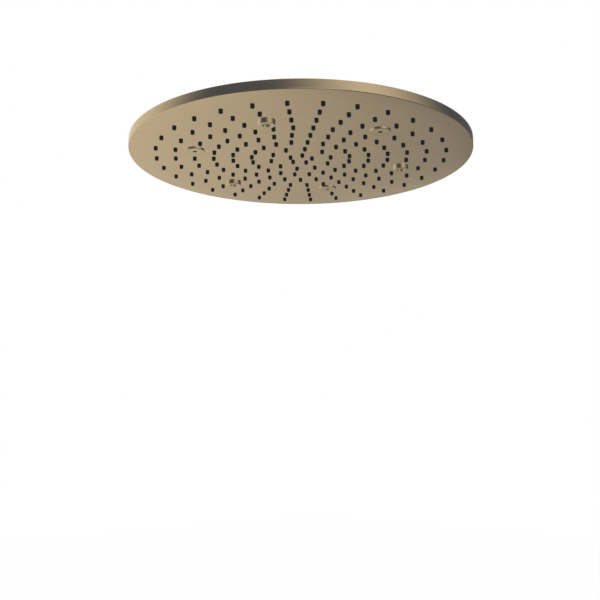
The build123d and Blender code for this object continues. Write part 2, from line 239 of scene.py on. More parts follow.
def rounded(corners, steps=5):
    """An outline of corners (r, z, rounding), each replaced by an arc tangent to its two sides."""
    points = np.array([corner[:2] for corner in corners], float)
    outline = []
    for i, (_, _, rounding) in enumerate(corners):
        here = points[i]
        if not rounding:
            outline.append(here[None])
            continue
        back = points[i - 1] - here
        back = back / np.linalg.norm(back)
        on = points[(i + 1) % len(points)] - here
        on = on / np.linalg.norm(on)
        half = np.arccos(np.clip(back @ on, -1, 1)) / 2
        centre = here + (back + on) / np.linalg.norm(back + on) * rounding / np.sin(half)
        start = here + back * rounding / np.tan(half) - centre
        end = here + on * rounding / np.tan(half) - centre
        share = np.linspace(0, 1, steps)[:, None]
        arc = start * (1 - share) + end * share
        outline.append(centre + arc / np.linalg.norm(arc, axis=1)[:, None] * rounding)
    return np.vstack(outline)


def grid_faces(rows, columns, wrap_rows=False):
    """Quads of a grid of points whose columns close into rings and whose rows may close too."""
    row = np.arange(rows if wrap_rows else rows - 1)[:, None]
    column = np.arange(columns)[None]
    next_row = (row + 1) % rows
    next_column = (column + 1) % columns
    corners = [row * columns + column, row * columns + next_column]
    corners += [next_row * columns + next_column, next_row * columns + column]
    return np.stack(corners, axis=-1).reshape(-1, 4)


def turned(profile, facets, centres, wrap_rows=False, caps=(False, False)):
    """Profiles (r, z) turned about upright axes: (x + r cos t, y + r sin t, z) for each centre (x, y)."""
    turn = even_turns(facets)
    ring = np.stack([np.cos(turn), np.sin(turn)], axis=-1)
    flat = profile[:, None, :1] * ring[None]
    height = np.broadcast_to(profile[:, None, 1:], flat.shape[:2] + (1,))
    one = np.concatenate([flat, height], axis=-1).reshape(-1, 3)
    centres = np.column_stack([centres, np.zeros(len(centres))])
    points = (centres[:, None] + one[None]).reshape(-1, 3)
    shift = (np.arange(len(centres)) * len(one))[:, None, None]
    faces = (grid_faces(len(profile), facets, wrap_rows)[None] + shift).reshape(-1, 4).tolist()
    for wanted, first in zip(caps, (0, len(one) - facets)):
        if wanted:
            faces += (np.arange(first, first + facets)[None] + shift[:, :, 0]).tolist()
    return points, faces


def surface(radius, height, wrap_rows=True, caps=(False, False)):
    """A skin (r cos t, r sin t, z) from grids of r and z: rows follow the profile, columns the angle t."""
    rows, columns = radius.shape
    turn = even_turns(columns)[None]
    points = np.stack([radius * np.cos(turn), radius * np.sin(turn), height], axis=-1).reshape(-1, 3)
    faces = grid_faces(rows, columns, wrap_rows).tolist()
    for wanted, row in zip(caps, (0, rows - 1)):
        if wanted:
            hub = len(points)
            points = np.vstack([points, (0, 0, height[row, 0])])
            ring = row * columns + np.arange(columns)
            faces += [[first, second, hub] for first, second in zip(ring, np.roll(ring, -1))]
    return points, faces


def pierced_disc(radius, facets, z, holes):
    """A flat disc with round holes: circles joined by constrained triangles, less those in a hole."""
    loops = [circle(radius, facets)]
    for centres, hole_radius, hole_facets in holes:
        loops += list(centres[:, None] + circle(hole_radius, hole_facets)[None])
    starts = np.cumsum([0] + [len(loop) for loop in loops[:-1]])
    edges = []
    for start, loop in zip(starts, loops):
        along = start + np.arange(len(loop))
        edges.append(np.column_stack([along, np.roll(along, -1)]))
    vectors = [Vector(point) for point in np.vstack(loops).tolist()]
    found = delaunay_2d_cdt(vectors, np.vstack(edges).tolist(), [], 0, TRIANGULATION_TOLERANCE)
    flat = np.array([tuple(point) for point in found[0]])
    triangles = np.array(found[2])
    middle = flat[triangles].mean(axis=1)
    keep = np.ones(len(triangles), bool)
    for centres, hole_radius, _ in holes:
        gap = np.linalg.norm(middle[:, None] - centres[None], axis=2).min(axis=1)
        keep &= gap > hole_radius * INSIDE_HOLE_SHARE
    return np.column_stack([flat, np.full(len(flat), z)]), triangles[keep].tolist()


def piece(name, parts, material, body, nodes, crease=CREASE, mirrored=False):
    """A mesh object from (points, faces) parts: doubles merged, faces outwards, sharp edges by angle."""
    counts = np.cumsum([0] + [len(points) for points, _ in parts])
    faces = [[i + count for i in face] for (_, part), count in zip(parts, counts) for face in part]
    mesh = bpy.data.meshes.new(name)
    mesh.from_pydata(np.vstack([points for points, _ in parts]).tolist(), [], faces)
    work = bmesh.new()
    work.from_mesh(mesh)
    bmesh.ops.remove_doubles(work, verts=work.verts, dist=MERGING_DISTANCE)
    bmesh.ops.recalc_face_normals(work, faces=work.faces)
    work.to_mesh(mesh)
    work.free()
    mesh.shade_smooth()
    mesh.set_sharp_from_angle(angle=radians(crease))
    mesh.materials.append(material)
    made = bpy.data.objects.new(name, mesh)
    bpy.context.scene.collection.objects.link(made)
    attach(made, body)
    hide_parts(*nodes)
    # The spray side's coat scatters too much to mirror its own pieces, so there metal shows the studio alone
    made.visible_glossy = mirrored
    return made


def face_vectors(mesh, name):
    """The normal or the centre of every face of a mesh, one row for each."""
    values = np.zeros(len(mesh.polygons) * 3)
    mesh.polygons.foreach_get(name, values)
    return values.reshape(-1, 3)


def set_finishes(mesh, index):
    """Give every face of a mesh one of its materials by number."""
    mesh.polygons.foreach_set("material_index", index.astype(np.int32))


# Finishes

# Noise lies mostly in this span, which is spread over a finish's whole range of roughness
NOISE_SPAN = (0.3, 0.7)
PLAIN_METAL = [("Metallic", 1.0)]


def node(tree, kind, values=(), links=(), **settings):
    """Add a node with settings, socket values (socket, value) and links (socket, source, output)."""
    made = tree.nodes.new(kind)
    for name, value in settings.items():
        setattr(made, name, value)
    for socket, value in values:
        made.inputs[socket].default_value = value
    for socket, source, output in links:
        tree.links.new(source.outputs[output], made.inputs[socket])
    return made


def coated_metal(edge):
    """Shader values of a coated metal, with its colour at a grazing angle."""
    return PLAIN_METAL + [("Specular Tint", linear(edge))]


def finish_shader(name, pattern, dark, light, rough, bump, values):
    """A material whose colour, roughness and relief follow one grey pattern, a function of the node tree."""
    material = bpy.data.materials.get(name)
    if material:
        return material
    material = bpy.data.materials.new(name)
    material.use_nodes = True
    tree = material.node_tree
    shader = tree.nodes["Principled BSDF"]
    grey = pattern(tree)
    tint = node(
        tree,
        "ShaderNodeMix",
        [(6, linear(dark)), (7, linear(light))],
        [(0, grey, "Fac")],
        data_type="RGBA",
    )
    low, high = NOISE_SPAN
    gloss = node(
        tree,
        "ShaderNodeMapRange",
        [("From Min", low), ("From Max", high), ("To Min", rough[0]), ("To Max", rough[1])],
        [("Value", grey, "Fac")],
    )
    relief = node(
        tree,
        "ShaderNodeBump",
        [("Strength", bump[0]), ("Distance", bump[1] * MM)],
        [("Height", grey, "Fac")],
    )
    tree.links.new(tint.outputs[2], shader.inputs["Base Color"])
    tree.links.new(gloss.outputs["Result"], shader.inputs["Roughness"])
    tree.links.new(relief.outputs["Normal"], shader.inputs["Normal"])
    for socket, value in values:
        shader.inputs[socket].default_value = value
    return material


def straight_lines(run, spacing):
    """Brushing along X: noise stretched to a run length, lines a spacing apart, both in millimetres."""

    def pattern(tree):
        place = node(tree, "ShaderNodeTexCoord")
        across = 1 / (spacing * MM)
        stretched = node(
            tree,
            "ShaderNodeMapping",
            [("Scale", (1 / (run * MM), across, across))],
            [("Vector", place, "Object")],
        )
        return node(
            tree,
            "ShaderNodeTexNoise",
            [("Scale", 1.0), ("Detail", 3.0)],
            [("Vector", stretched, "Vector")],
        )

    return pattern


def turning_lines(spacing):
    """Lathe marks about the head's axis: noise of radius and height, a spacing apart in millimetres."""

    def pattern(tree):
        place = node(tree, "ShaderNodeTexCoord")
        level = node(tree, "ShaderNodeMapping", [("Scale", (1.0, 1.0, 0.0))], [("Vector", place, "Object")])
        reach = node(tree, "ShaderNodeVectorMath", (), [(0, level, "Vector")], operation="LENGTH")
        split = node(tree, "ShaderNodeSeparateXYZ", (), [("Vector", place, "Object")])
        mark = node(tree, "ShaderNodeCombineXYZ", (), [("X", reach, "Value"), ("Y", split, "Z")])
        return node(
            tree,
            "ShaderNodeTexNoise",
            [("Scale", 1 / (spacing * MM)), ("Detail", 2.0)],
            [("Vector", mark, "Vector")],
        )

    return pattern


def fine_grain(size):
    """Even grain of one size in millimetres, as moulding or plain machining leaves."""

    def pattern(tree):
        place = node(tree, "ShaderNodeTexCoord")
        return node(
            tree,
            "ShaderNodeTexNoise",
            [("Scale", 1 / (size * MM)), ("Detail", 4.0)],
            [("Vector", place, "Object")],
        )

    return pattern


def brushed_bronze():
    """Vapour-coated stainless steel brushed along X: satin, its lines drawn coarser than the real 0.1 mm."""
    tint = colours()
    return finish_shader(
        "brushed_bronze",
        straight_lines(run=150, spacing=2.6),
        dark=tint.bronze_line,
        light=tint.bronze,
        rough=(0.27, 0.39),
        bump=(0.05, 0.04),
        values=coated_metal(tint.brushed_edge),
    )


def turned_bronze():
    """The same coat on turned surfaces: lathe marks round the axis, drawn coarser than the real 0.1 mm."""
    tint = colours()
    return finish_shader(
        "turned_bronze",
        turning_lines(spacing=0.7),
        dark=tint.bronze_line,
        light=tint.bronze,
        rough=(0.16, 0.2),
        bump=(0.05, 0.02),
        values=coated_metal(tint.turned_edge),
    )


def polished_bronze():
    """The same coat over polished brass: clear reflections with a trace of buffing haze."""
    tint = colours()
    return finish_shader(
        "polished_bronze",
        fine_grain(3.0),
        dark=tint.jet_haze,
        light=tint.jet_bronze,
        rough=(0.04, 0.07),
        bump=(0.02, 0.02),
        values=coated_metal(tint.jet_edge),
    )


def dull_bronze():
    """The same coat deep in a spout's mouth, darkened as painted shade for the shade inside the mouth: a darker,
    softer sheen.
    """
    tint = colours()
    return finish_shader(
        "dull_bronze",
        fine_grain(1.0),
        dark=tint.plug_shade_grain,
        light=tint.dull,
        rough=(0.12, 0.2),
        bump=(0.05, 0.02),
        values=coated_metal(tint.plug_shade_edge),
    )


def shaded_bronze():
    """Painted shade inside the jets and the inlet: a dark brown, half matt metal that stands in for the shade of
    these hollows.
    """
    tint = colours()
    return finish_shader(
        "shaded_bronze",
        fine_grain(0.6),
        dark=tint.painted_inner_shade_grain,
        light=tint.painted_inner_shade,
        rough=(0.3, 0.45),
        bump=(0.1, 0.02),
        values=PLAIN_METAL,
    )


def moulded_silicone():
    """Black silicone rubber from a fine-eroded mould: matt, with a faint grey bloom."""
    tint = colours()
    return finish_shader(
        "moulded_silicone",
        fine_grain(0.6),
        dark=tint.silicone,
        light=tint.silicone_bloom,
        rough=(0.42, 0.55),
        bump=(0.2, 0.05),
        values=[("IOR", 1.35)],
    )


def seal_rubber():
    """Cut nitrile rubber of seals and washers: dull black."""
    tint = colours()
    return finish_shader(
        "seal_rubber",
        fine_grain(0.8),
        dark=tint.rubber,
        light=tint.silicone_bloom,
        rough=(0.55, 0.7),
        bump=(0.3, 0.05),
        values=[("IOR", 1.5)],
    )


def moulded_acetal():
    """Natural acetal mouldings: off-white, slightly waxy."""
    tint = colours()
    return finish_shader(
        "moulded_acetal",
        fine_grain(1.2),
        dark=tint.acetal_grain,
        light=tint.acetal,
        rough=(0.35, 0.45),
        bump=(0.15, 0.05),
        values=[("IOR", 1.48)],
    )


def turned_brass():
    """Plain turned brass: yellow metal with lathe marks."""
    tint = colours()
    return finish_shader(
        "turned_brass",
        turning_lines(spacing=0.4),
        dark=tint.brass_line,
        light=tint.brass,
        rough=(0.22, 0.32),
        bump=(0.1, 0.02),
        values=PLAIN_METAL,
    )


def stainless_steel():
    """Plain stainless fasteners and wire: cool grey with a fine tumbled grain."""
    tint = colours()
    return finish_shader(
        "stainless_steel",
        fine_grain(0.5),
        dark=tint.steel_grain,
        light=tint.steel,
        rough=(0.22, 0.34),
        bump=(0.1, 0.02),
        values=PLAIN_METAL,
    )


# Operators, one for each piece or group of like pieces

# The pan is brushed where a face's normal is at least this upright, and turned elsewhere
LEVEL_NORMAL = 0.98


class SHOWERHEAD_OT_face_pan(bpy.types.Operator):
    """Build the spray face and rim as one pan with a round hole at every nozzle and jet"""

    bl_idname = "shower_head.face_pan"
    bl_label = "Face pan"

    def execute(self, context):
        size = sizes()
        nozzles, jet_radius = ring_places()
        jets = around(jet_radius, MIST_ANGLES + SPOUT_ANGLES)
        inner = HEAD_RADIUS - size.rim_wall
        hole = size.nozzle_diameter / 2 + size.hole_gap
        jet_hole = size.shank_radius + size.hole_gap
        jet_openings = (jets, jet_hole, JET_HOLE_FACETS)
        openings = [(nozzles, hole + size.hole_edge, HOLE_FACETS), jet_openings]
        outside = pierced_disc(HEAD_RADIUS - size.face_edge, RIM_FACETS, FACE_Z, openings)
        openings = [(nozzles, hole, HOLE_FACETS), jet_openings]
        inside = pierced_disc(inner, RIM_FACETS, FACE_INNER_Z, openings)
        # The last corner only gives the face's direction to the first, and is left out of the wall
        wall = rounded(
            [
                (HEAD_RADIUS, FACE_Z, size.face_edge),
                (HEAD_RADIUS, PAN_HIGH.z, size.rim_edge),
                (inner, PAN_HIGH.z, size.rim_edge),
                (inner, FACE_INNER_Z, 0),
                (HEAD_RADIUS - 2 * size.face_edge, FACE_Z, 0),
            ]
        )[:-1]
        hole_wall = np.array(
            [(hole + size.hole_edge, FACE_Z), (hole, FACE_Z + size.hole_edge), (hole, FACE_INNER_Z)]
        )
        jet_wall = np.array([(jet_hole, FACE_Z), (jet_hole, FACE_INNER_Z)])
        rim = turned(wall, RIM_FACETS, HEAD_AXIS)
        holes = turned(hole_wall, HOLE_FACETS, nozzles)
        jet_holes = turned(jet_wall, JET_HOLE_FACETS, jets)
        pan = piece(
            "face_pan_finish",
            [outside, inside, rim, holes, jet_holes],
            brushed_bronze(),
            "head",
            ["face_pan"],
        )
        pan.data.materials.append(turned_bronze())
        set_finishes(pan.data, np.abs(face_vectors(pan.data, "normal")[:, 2]) < LEVEL_NORMAL)
        return {"FINISHED"}


# A nozzle's end as insets from its radius at heights above its tip, both in millimetres, and its outlet
TIP_ROUNDING = ((0.0, 1.2), (0.12, 0.62), (0.48, 0.2), (1.1, 0.0))
OUTLET_EDGE = 0.15 * MM
OUTLET_DEPTH = 2.0 * MM


class SHOWERHEAD_OT_nozzle_mat(bpy.types.Operator):
    """Build the silicone mat with its nozzles, each with a rounded tip and a water outlet"""

    bl_idname = "shower_head.nozzle_mat"
    bl_label = "Nozzle mat"

    def execute(self, context):
        size = sizes()
        nozzles, jet_radius = ring_places()
        jets = around(jet_radius, MIST_ANGLES + SPOUT_ANGLES)
        jet_hole = size.shank_radius + size.hole_gap
        root = size.nozzle_diameter / 2
        tip = size.nozzle_tip / 2
        outlet = size.nozzle_outlet / 2
        low = MAT_LOW.z
        nozzle = [(root, FACE_INNER_Z), (root, FACE_Z)]
        nozzle += [(tip - inset * MM, low + rise * MM) for inset, rise in TIP_ROUNDING]
        nozzle += [(outlet + OUTLET_EDGE, low), (outlet, low + OUTLET_EDGE), (outlet, low + OUTLET_DEPTH)]
        edge = np.array([(MAT_HIGH.x, FACE_INNER_Z), (MAT_HIGH.x, MAT_HIGH.z)])
        sleeve = np.array([(jet_hole, FACE_INNER_Z), (jet_hole, MAT_HIGH.z)])
        jet_holes = (jets, jet_hole, JET_HOLE_FACETS)
        nozzle_roots = (nozzles, root, NOZZLE_FACETS)
        parts = [
            turned(np.array(nozzle), NOZZLE_FACETS, nozzles, caps=(False, True)),
            pierced_disc(MAT_HIGH.x, MAT_FACETS, FACE_INNER_Z, [nozzle_roots, jet_holes]),
            pierced_disc(MAT_HIGH.x, MAT_FACETS, MAT_HIGH.z, [jet_holes]),
            turned(edge, MAT_FACETS, HEAD_AXIS),
            turned(sleeve, JET_HOLE_FACETS, jets),
        ]
        piece(
            "nozzle_mat_moulding",
            parts,
            moulded_silicone(),
            "head",
            ["nozzle_mat"],
            crease=MAT_CREASE,
        )
        return {"FINISHED"}


# Both kinds of jet: the shank's rounded end and the gap between its bore and the core
SHANK_EDGE = 0.3 * MM
CORE_GAP = 0.2 * MM

# Mist disc: floor of its hole, roundings of hole and rim, and the fine groove near its edge
MIST_FLOOR_DEPTH = 0.8 * MM
MIST_HOLE_EDGE = 0.25 * MM
MIST_EDGE = 0.35 * MM
GROOVE_INSET = 0.4 * MM
GROOVE_WIDTH = 0.35 * MM
GROOVE_DEPTH = 0.2 * MM

# Mist core: a pin with a bevelled tip in a wide recess, with depths inside the disc's face or its floor
PIN_RADIUS = 0.9 * MM
PIN_TIP_RADIUS = 0.7 * MM
PIN_TIP_DEPTH = 1.0 * MM
PIN_BEVEL_DEPTH = 1.15 * MM
RECESS_MARGIN = 0.8 * MM
RECESS_DEPTH = 1.3 * MM
MIST_CORE_HEIGHT = 3.2 * MM

# Satin and painted shade on the jets: how upright a level face's normal is, and how far the painted shade reaches
# past a well or groove
SATIN_NORMAL = 0.95
WELL_MARGIN_SHARE = 1.02
PAINTED_SHADE_MARGIN = 0.05 * MM


def jet_piece(name, part, material, replaced):
    """One piece of a jet, in place of one CAD node."""
    return piece(name, [part], material, "head", [replaced])


def satin_and_painted_shade(made, centre, well, groove=None):
    """Satin on a jet's level faces, and painted shade in its well and groove (a dark colour for the shade there),
    by face normal, reach and level.
    """
    mesh = made.data
    mesh.materials.append(brushed_bronze())
    mesh.materials.append(shaded_bronze())
    middle = face_vectors(mesh, "center")
    level = face_vectors(mesh, "normal")[:, 2] < -SATIN_NORMAL
    reach = np.linalg.norm(middle[:, :2] - centre, axis=1)
    # Painted shade: faces in the well and the groove take the dark colour in place of the shade that falls there
    dark = reach < well
    if groove:
        edge, low = groove
        depth = middle[:, 2] - low
        cut = (depth > PAINTED_SHADE_MARGIN) & (depth < GROOVE_DEPTH + PAINTED_SHADE_MARGIN)
        cut &= (reach < edge + PAINTED_SHADE_MARGIN) & (reach > edge - GROOVE_WIDTH - PAINTED_SHADE_MARGIN)
        dark |= cut
    set_finishes(mesh, np.where(dark, 2, np.where(level, 1, 0)))


class SHOWERHEAD_OT_mist_jets(bpy.types.Operator):
    """Build the three low jets and the pins in their holes"""

    bl_idname = "shower_head.mist_jets"
    bl_label = "Mist jets"

    def execute(self, context):
        size = sizes()
        _, jet_radius = ring_places()
        low = FACE_Z - size.mist_height
        floor = low + MIST_FLOOR_DEPTH
        groove = size.mist_radius - GROOVE_INSET
        top = FACE_Z + SHANK_TOP
        disc = rounded(
            [
                (size.mist_hole, floor, 0),
                (size.mist_hole, low, MIST_HOLE_EDGE),
                (groove - GROOVE_WIDTH, low, 0),
                (groove - GROOVE_WIDTH, low + GROOVE_DEPTH, 0),
                (groove, low + GROOVE_DEPTH, 0),
                (groove, low, 0),
                (size.mist_radius, low, MIST_EDGE),
                (size.mist_radius, FACE_Z, 0),
                (size.shank_radius, FACE_Z, 0),
                (size.shank_radius, top, SHANK_EDGE),
                (size.shank_bore, top, 0),
                (size.shank_bore, floor, 0),
            ]
        )
        bore = size.shank_bore - CORE_GAP
        recess = size.mist_hole + RECESS_MARGIN
        pin = np.array(
            [
                (PIN_TIP_RADIUS, low + PIN_TIP_DEPTH),
                (PIN_RADIUS, low + PIN_BEVEL_DEPTH),
                (PIN_RADIUS, floor + RECESS_DEPTH),
                (recess, floor + RECESS_DEPTH),
                (recess, floor),
                (bore, floor),
                (bore, floor + MIST_CORE_HEIGHT),
            ]
        )
        for number, angle in enumerate(MIST_ANGLES, 1):
            centre = around(jet_radius, [angle])
            shell = turned(disc, JET_FACETS, centre, wrap_rows=True)
            made = jet_piece(f"mist_disc_{number}", shell, polished_bronze(), f"mist_jet_{number}")
            # Painted shade in the disc's hole and in its fine groove
            satin_and_painted_shade(made, centre, size.mist_hole * WELL_MARGIN_SHARE, (groove, low))
            core = turned(pin, PIN_FACETS, centre, caps=(True, True))
            made = jet_piece(f"mist_pin_{number}", core, polished_bronze(), f"mist_core_{number}")
            # Painted shade over the whole pin, which sits deep in the hole
            satin_and_painted_shade(made, centre, bore)
        return {"FINISHED"}


# Spout: level of its inner shoulder below the face, and the roundings of mouth, lip and foot
SPOUT_SHOULDER = 2.6 * MM
SPOUT_MOUTH_EDGE = 0.3 * MM
SPOUT_LIP_EDGE = 0.45 * MM
SPOUT_FOOT_EDGE = 0.2 * MM

# Spout insert: the ring gap round its head, the dimple in the middle, and its height in the shank
PLUG_GAP = 1.0 * MM
PLUG_DEPTH = 1.3 * MM
DIMPLE_RADIUS = 0.7 * MM
DIMPLE_RIM_RADIUS = 1.1 * MM
DIMPLE_DEPTH = 1.6 * MM
# The plug head's rounding as insets from its radius at depths inside the spout's lip, in millimetres
PLUG_ROUNDING = ((0.3, 1.3), (0.08, 1.4), (0.0, 1.65))
PLUG_HEIGHT = 4.0 * MM


class SHOWERHEAD_OT_spouts(bpy.types.Operator):
    """Build the three spouts and the round heads of their inserts"""

    bl_idname = "shower_head.spouts"
    bl_label = "Spouts"

    def execute(self, context):
        size = sizes()
        _, jet_radius = ring_places()
        low = FACE_Z - size.spout_height
        shoulder = FACE_Z - SPOUT_SHOULDER
        top = FACE_Z + SHANK_TOP
        tube = rounded(
            [
                (size.spout_bore, shoulder, 0),
                (size.spout_bore, low, SPOUT_MOUTH_EDGE),
                (size.spout_radius, low, SPOUT_LIP_EDGE),
                (size.spout_radius, FACE_Z, SPOUT_FOOT_EDGE),
                (size.shank_radius, FACE_Z, 0),
                (size.shank_radius, top, SHANK_EDGE),
                (size.shank_bore, top, 0),
                (size.shank_bore, shoulder, 0),
            ]
        )
        head = size.spout_bore - PLUG_GAP
        bore = size.shank_bore - CORE_GAP
        plug = [(DIMPLE_RADIUS, low + DIMPLE_DEPTH), (DIMPLE_RIM_RADIUS, low + PLUG_DEPTH)]
        plug += [(head - inset * MM, low + depth * MM) for inset, depth in PLUG_ROUNDING]
        plug += [(head, shoulder), (bore, shoulder), (bore, shoulder + PLUG_HEIGHT)]
        for number, angle in enumerate(SPOUT_ANGLES, 1):
            centre = around(jet_radius, [angle])
            shell = turned(tube, JET_FACETS, centre, wrap_rows=True)
            made = jet_piece(f"spout_tube_{number}", shell, polished_bronze(), f"spout_{number}")
            satin_and_painted_shade(made, centre, 0)
            core = turned(np.array(plug), PLUG_FACETS, centre, caps=(True, True))
            # The insert heads take painted shade: a darker bronze for the shade inside the spout's mouth
            jet_piece(f"spout_plug_{number}", core, dull_bronze(), f"spout_insert_{number}")
        return {"FINISHED"}


# Back screw: shank, straight edge of the head, the dome's flat middle as a share, and the hexagon socket
SCREW_SHANK = 2.0 * MM
SCREW_EDGE = 0.6 * MM
DOME_FLAT_SHARE = 0.45
DOME_ROWS = 6
SOCKET_APOTHEM = 1.2 * MM
SOCKET_BEVEL = 0.12 * MM
SOCKET_DEPTH = 1.2 * MM


class SHOWERHEAD_OT_back_screws(bpy.types.Operator):
    """Build the domed screws of the back plate with their hexagon sockets"""

    bl_idname = "shower_head.back_screws"
    bl_label = "Back screws"

    def execute(self, context):
        size = sizes()
        shank_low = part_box("back_screws")[0].z
        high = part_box("back_screws")[1].z
        edge_z = BACK_TOP_Z + SCREW_EDGE
        head = size.screw_head
        rise = np.linspace(0, pi / 2, DOME_ROWS + 1)[1:]
        dome = head * (DOME_FLAT_SHARE + (1 - DOME_FLAT_SHARE) * np.cos(rise))
        dome_z = edge_z + (high - edge_z) * np.sin(rise)
        socket = hexagon(SOCKET_APOTHEM, even_turns(SCREW_FACETS))
        round_radius = [SCREW_SHANK, SCREW_SHANK, head, head, *dome]
        radius = np.vstack(
            [carried_round(round_radius, SCREW_FACETS), socket + SOCKET_BEVEL, socket, socket]
        )
        level = [shank_low, BACK_TOP_Z, BACK_TOP_Z, edge_z, *dome_z]
        level += [high, high - SOCKET_BEVEL, high - SOCKET_DEPTH]
        points, faces = surface(radius, carried_round(level, SCREW_FACETS), False, (True, True))
        places = around(size.screw_circle, SCREW_START + np.arange(SCREW_COUNT) * 360 / SCREW_COUNT)
        parts = [(points + np.append(place, 0), faces) for place in places]
        piece("back_screw_heads", parts, stainless_steel(), "head", ["back_screws"], mirrored=True)
        return {"FINISHED"}


# Collar nut: round bore, spherical seat between two latitudes, open cone, upper roundings and wrench flats
COLLAR_BORE = 15.1 * MM
COLLAR_BORE_TOP = 0.2 * MM
COLLAR_SEAT = 12.6 * MM
COLLAR_SEAT_LATITUDES = (1, 35)
COLLAR_SEAT_ROWS = 10
CONE_ANGLE = 55
CONE_EDGE = 0.4 * MM
COLLAR_SLOPE_WIDTH = 1.2 * MM
COLLAR_SLOPE_HEIGHT = 1.8 * MM
COLLAR_TOP_EDGE = 0.8 * MM
COLLAR_SIDE_EDGE = 0.9 * MM
COLLAR_CHAMFER = 0.4 * MM
FLATS_APOTHEM = 16 * MM
FLATS_SHARE = 0.6
FLATS_STEP = 0.02 * MM
FLATS_ROWS = 3
SMALLEST_SINE = 1e-6

# Inlet nut and ball: radii about the axis, depths below the mouth, the neck's fillet, the ball's span
NUT_LENGTH = 20 * MM
NUT_APOTHEM = 12 * MM
NUT_CHAMFER_ANGLE = 30
NUT_CHAMFER_ROWS = np.array([0, 0.25, 0.5, 0.75, 1.0, 1.2]) * MM
NECK_RADIUS = 6.5 * MM
NECK_FILLET = ((0.0, 1.2), (0.15, 0.5))
BALL_RADIUS = 11 * MM
BALL_LATITUDES = (50, -62.9)
BALL_ROWS = 30
WATERWAY_RADIUS = 5 * MM
POCKET_RADIUS = 7.8 * MM
POCKET_DEPTH = 4.2 * MM
WASHER_SEAT_DEPTH = 14 * MM
WASHER_GROOVE_RADIUS = 10.6 * MM
INSIDE_NUT_MARGIN = 0.1 * MM
WATERWAY_MARGIN_SHARE = 1.02

# Inlet thread: minor radius, first and last depth, run-out, mouth bevel, and the flanks' steepness and flat
THREAD_MINOR = 9.32 * MM
THREAD_END = 11 * MM
THREAD_START = 0.6 * MM
THREAD_RUN_OUT = 1.5 * MM
THREAD_ROWS = 56
MOUTH_BEVEL = 0.5 * MM
FLANK_SLOPE = 2.2
ROOT_FLAT = 0.6


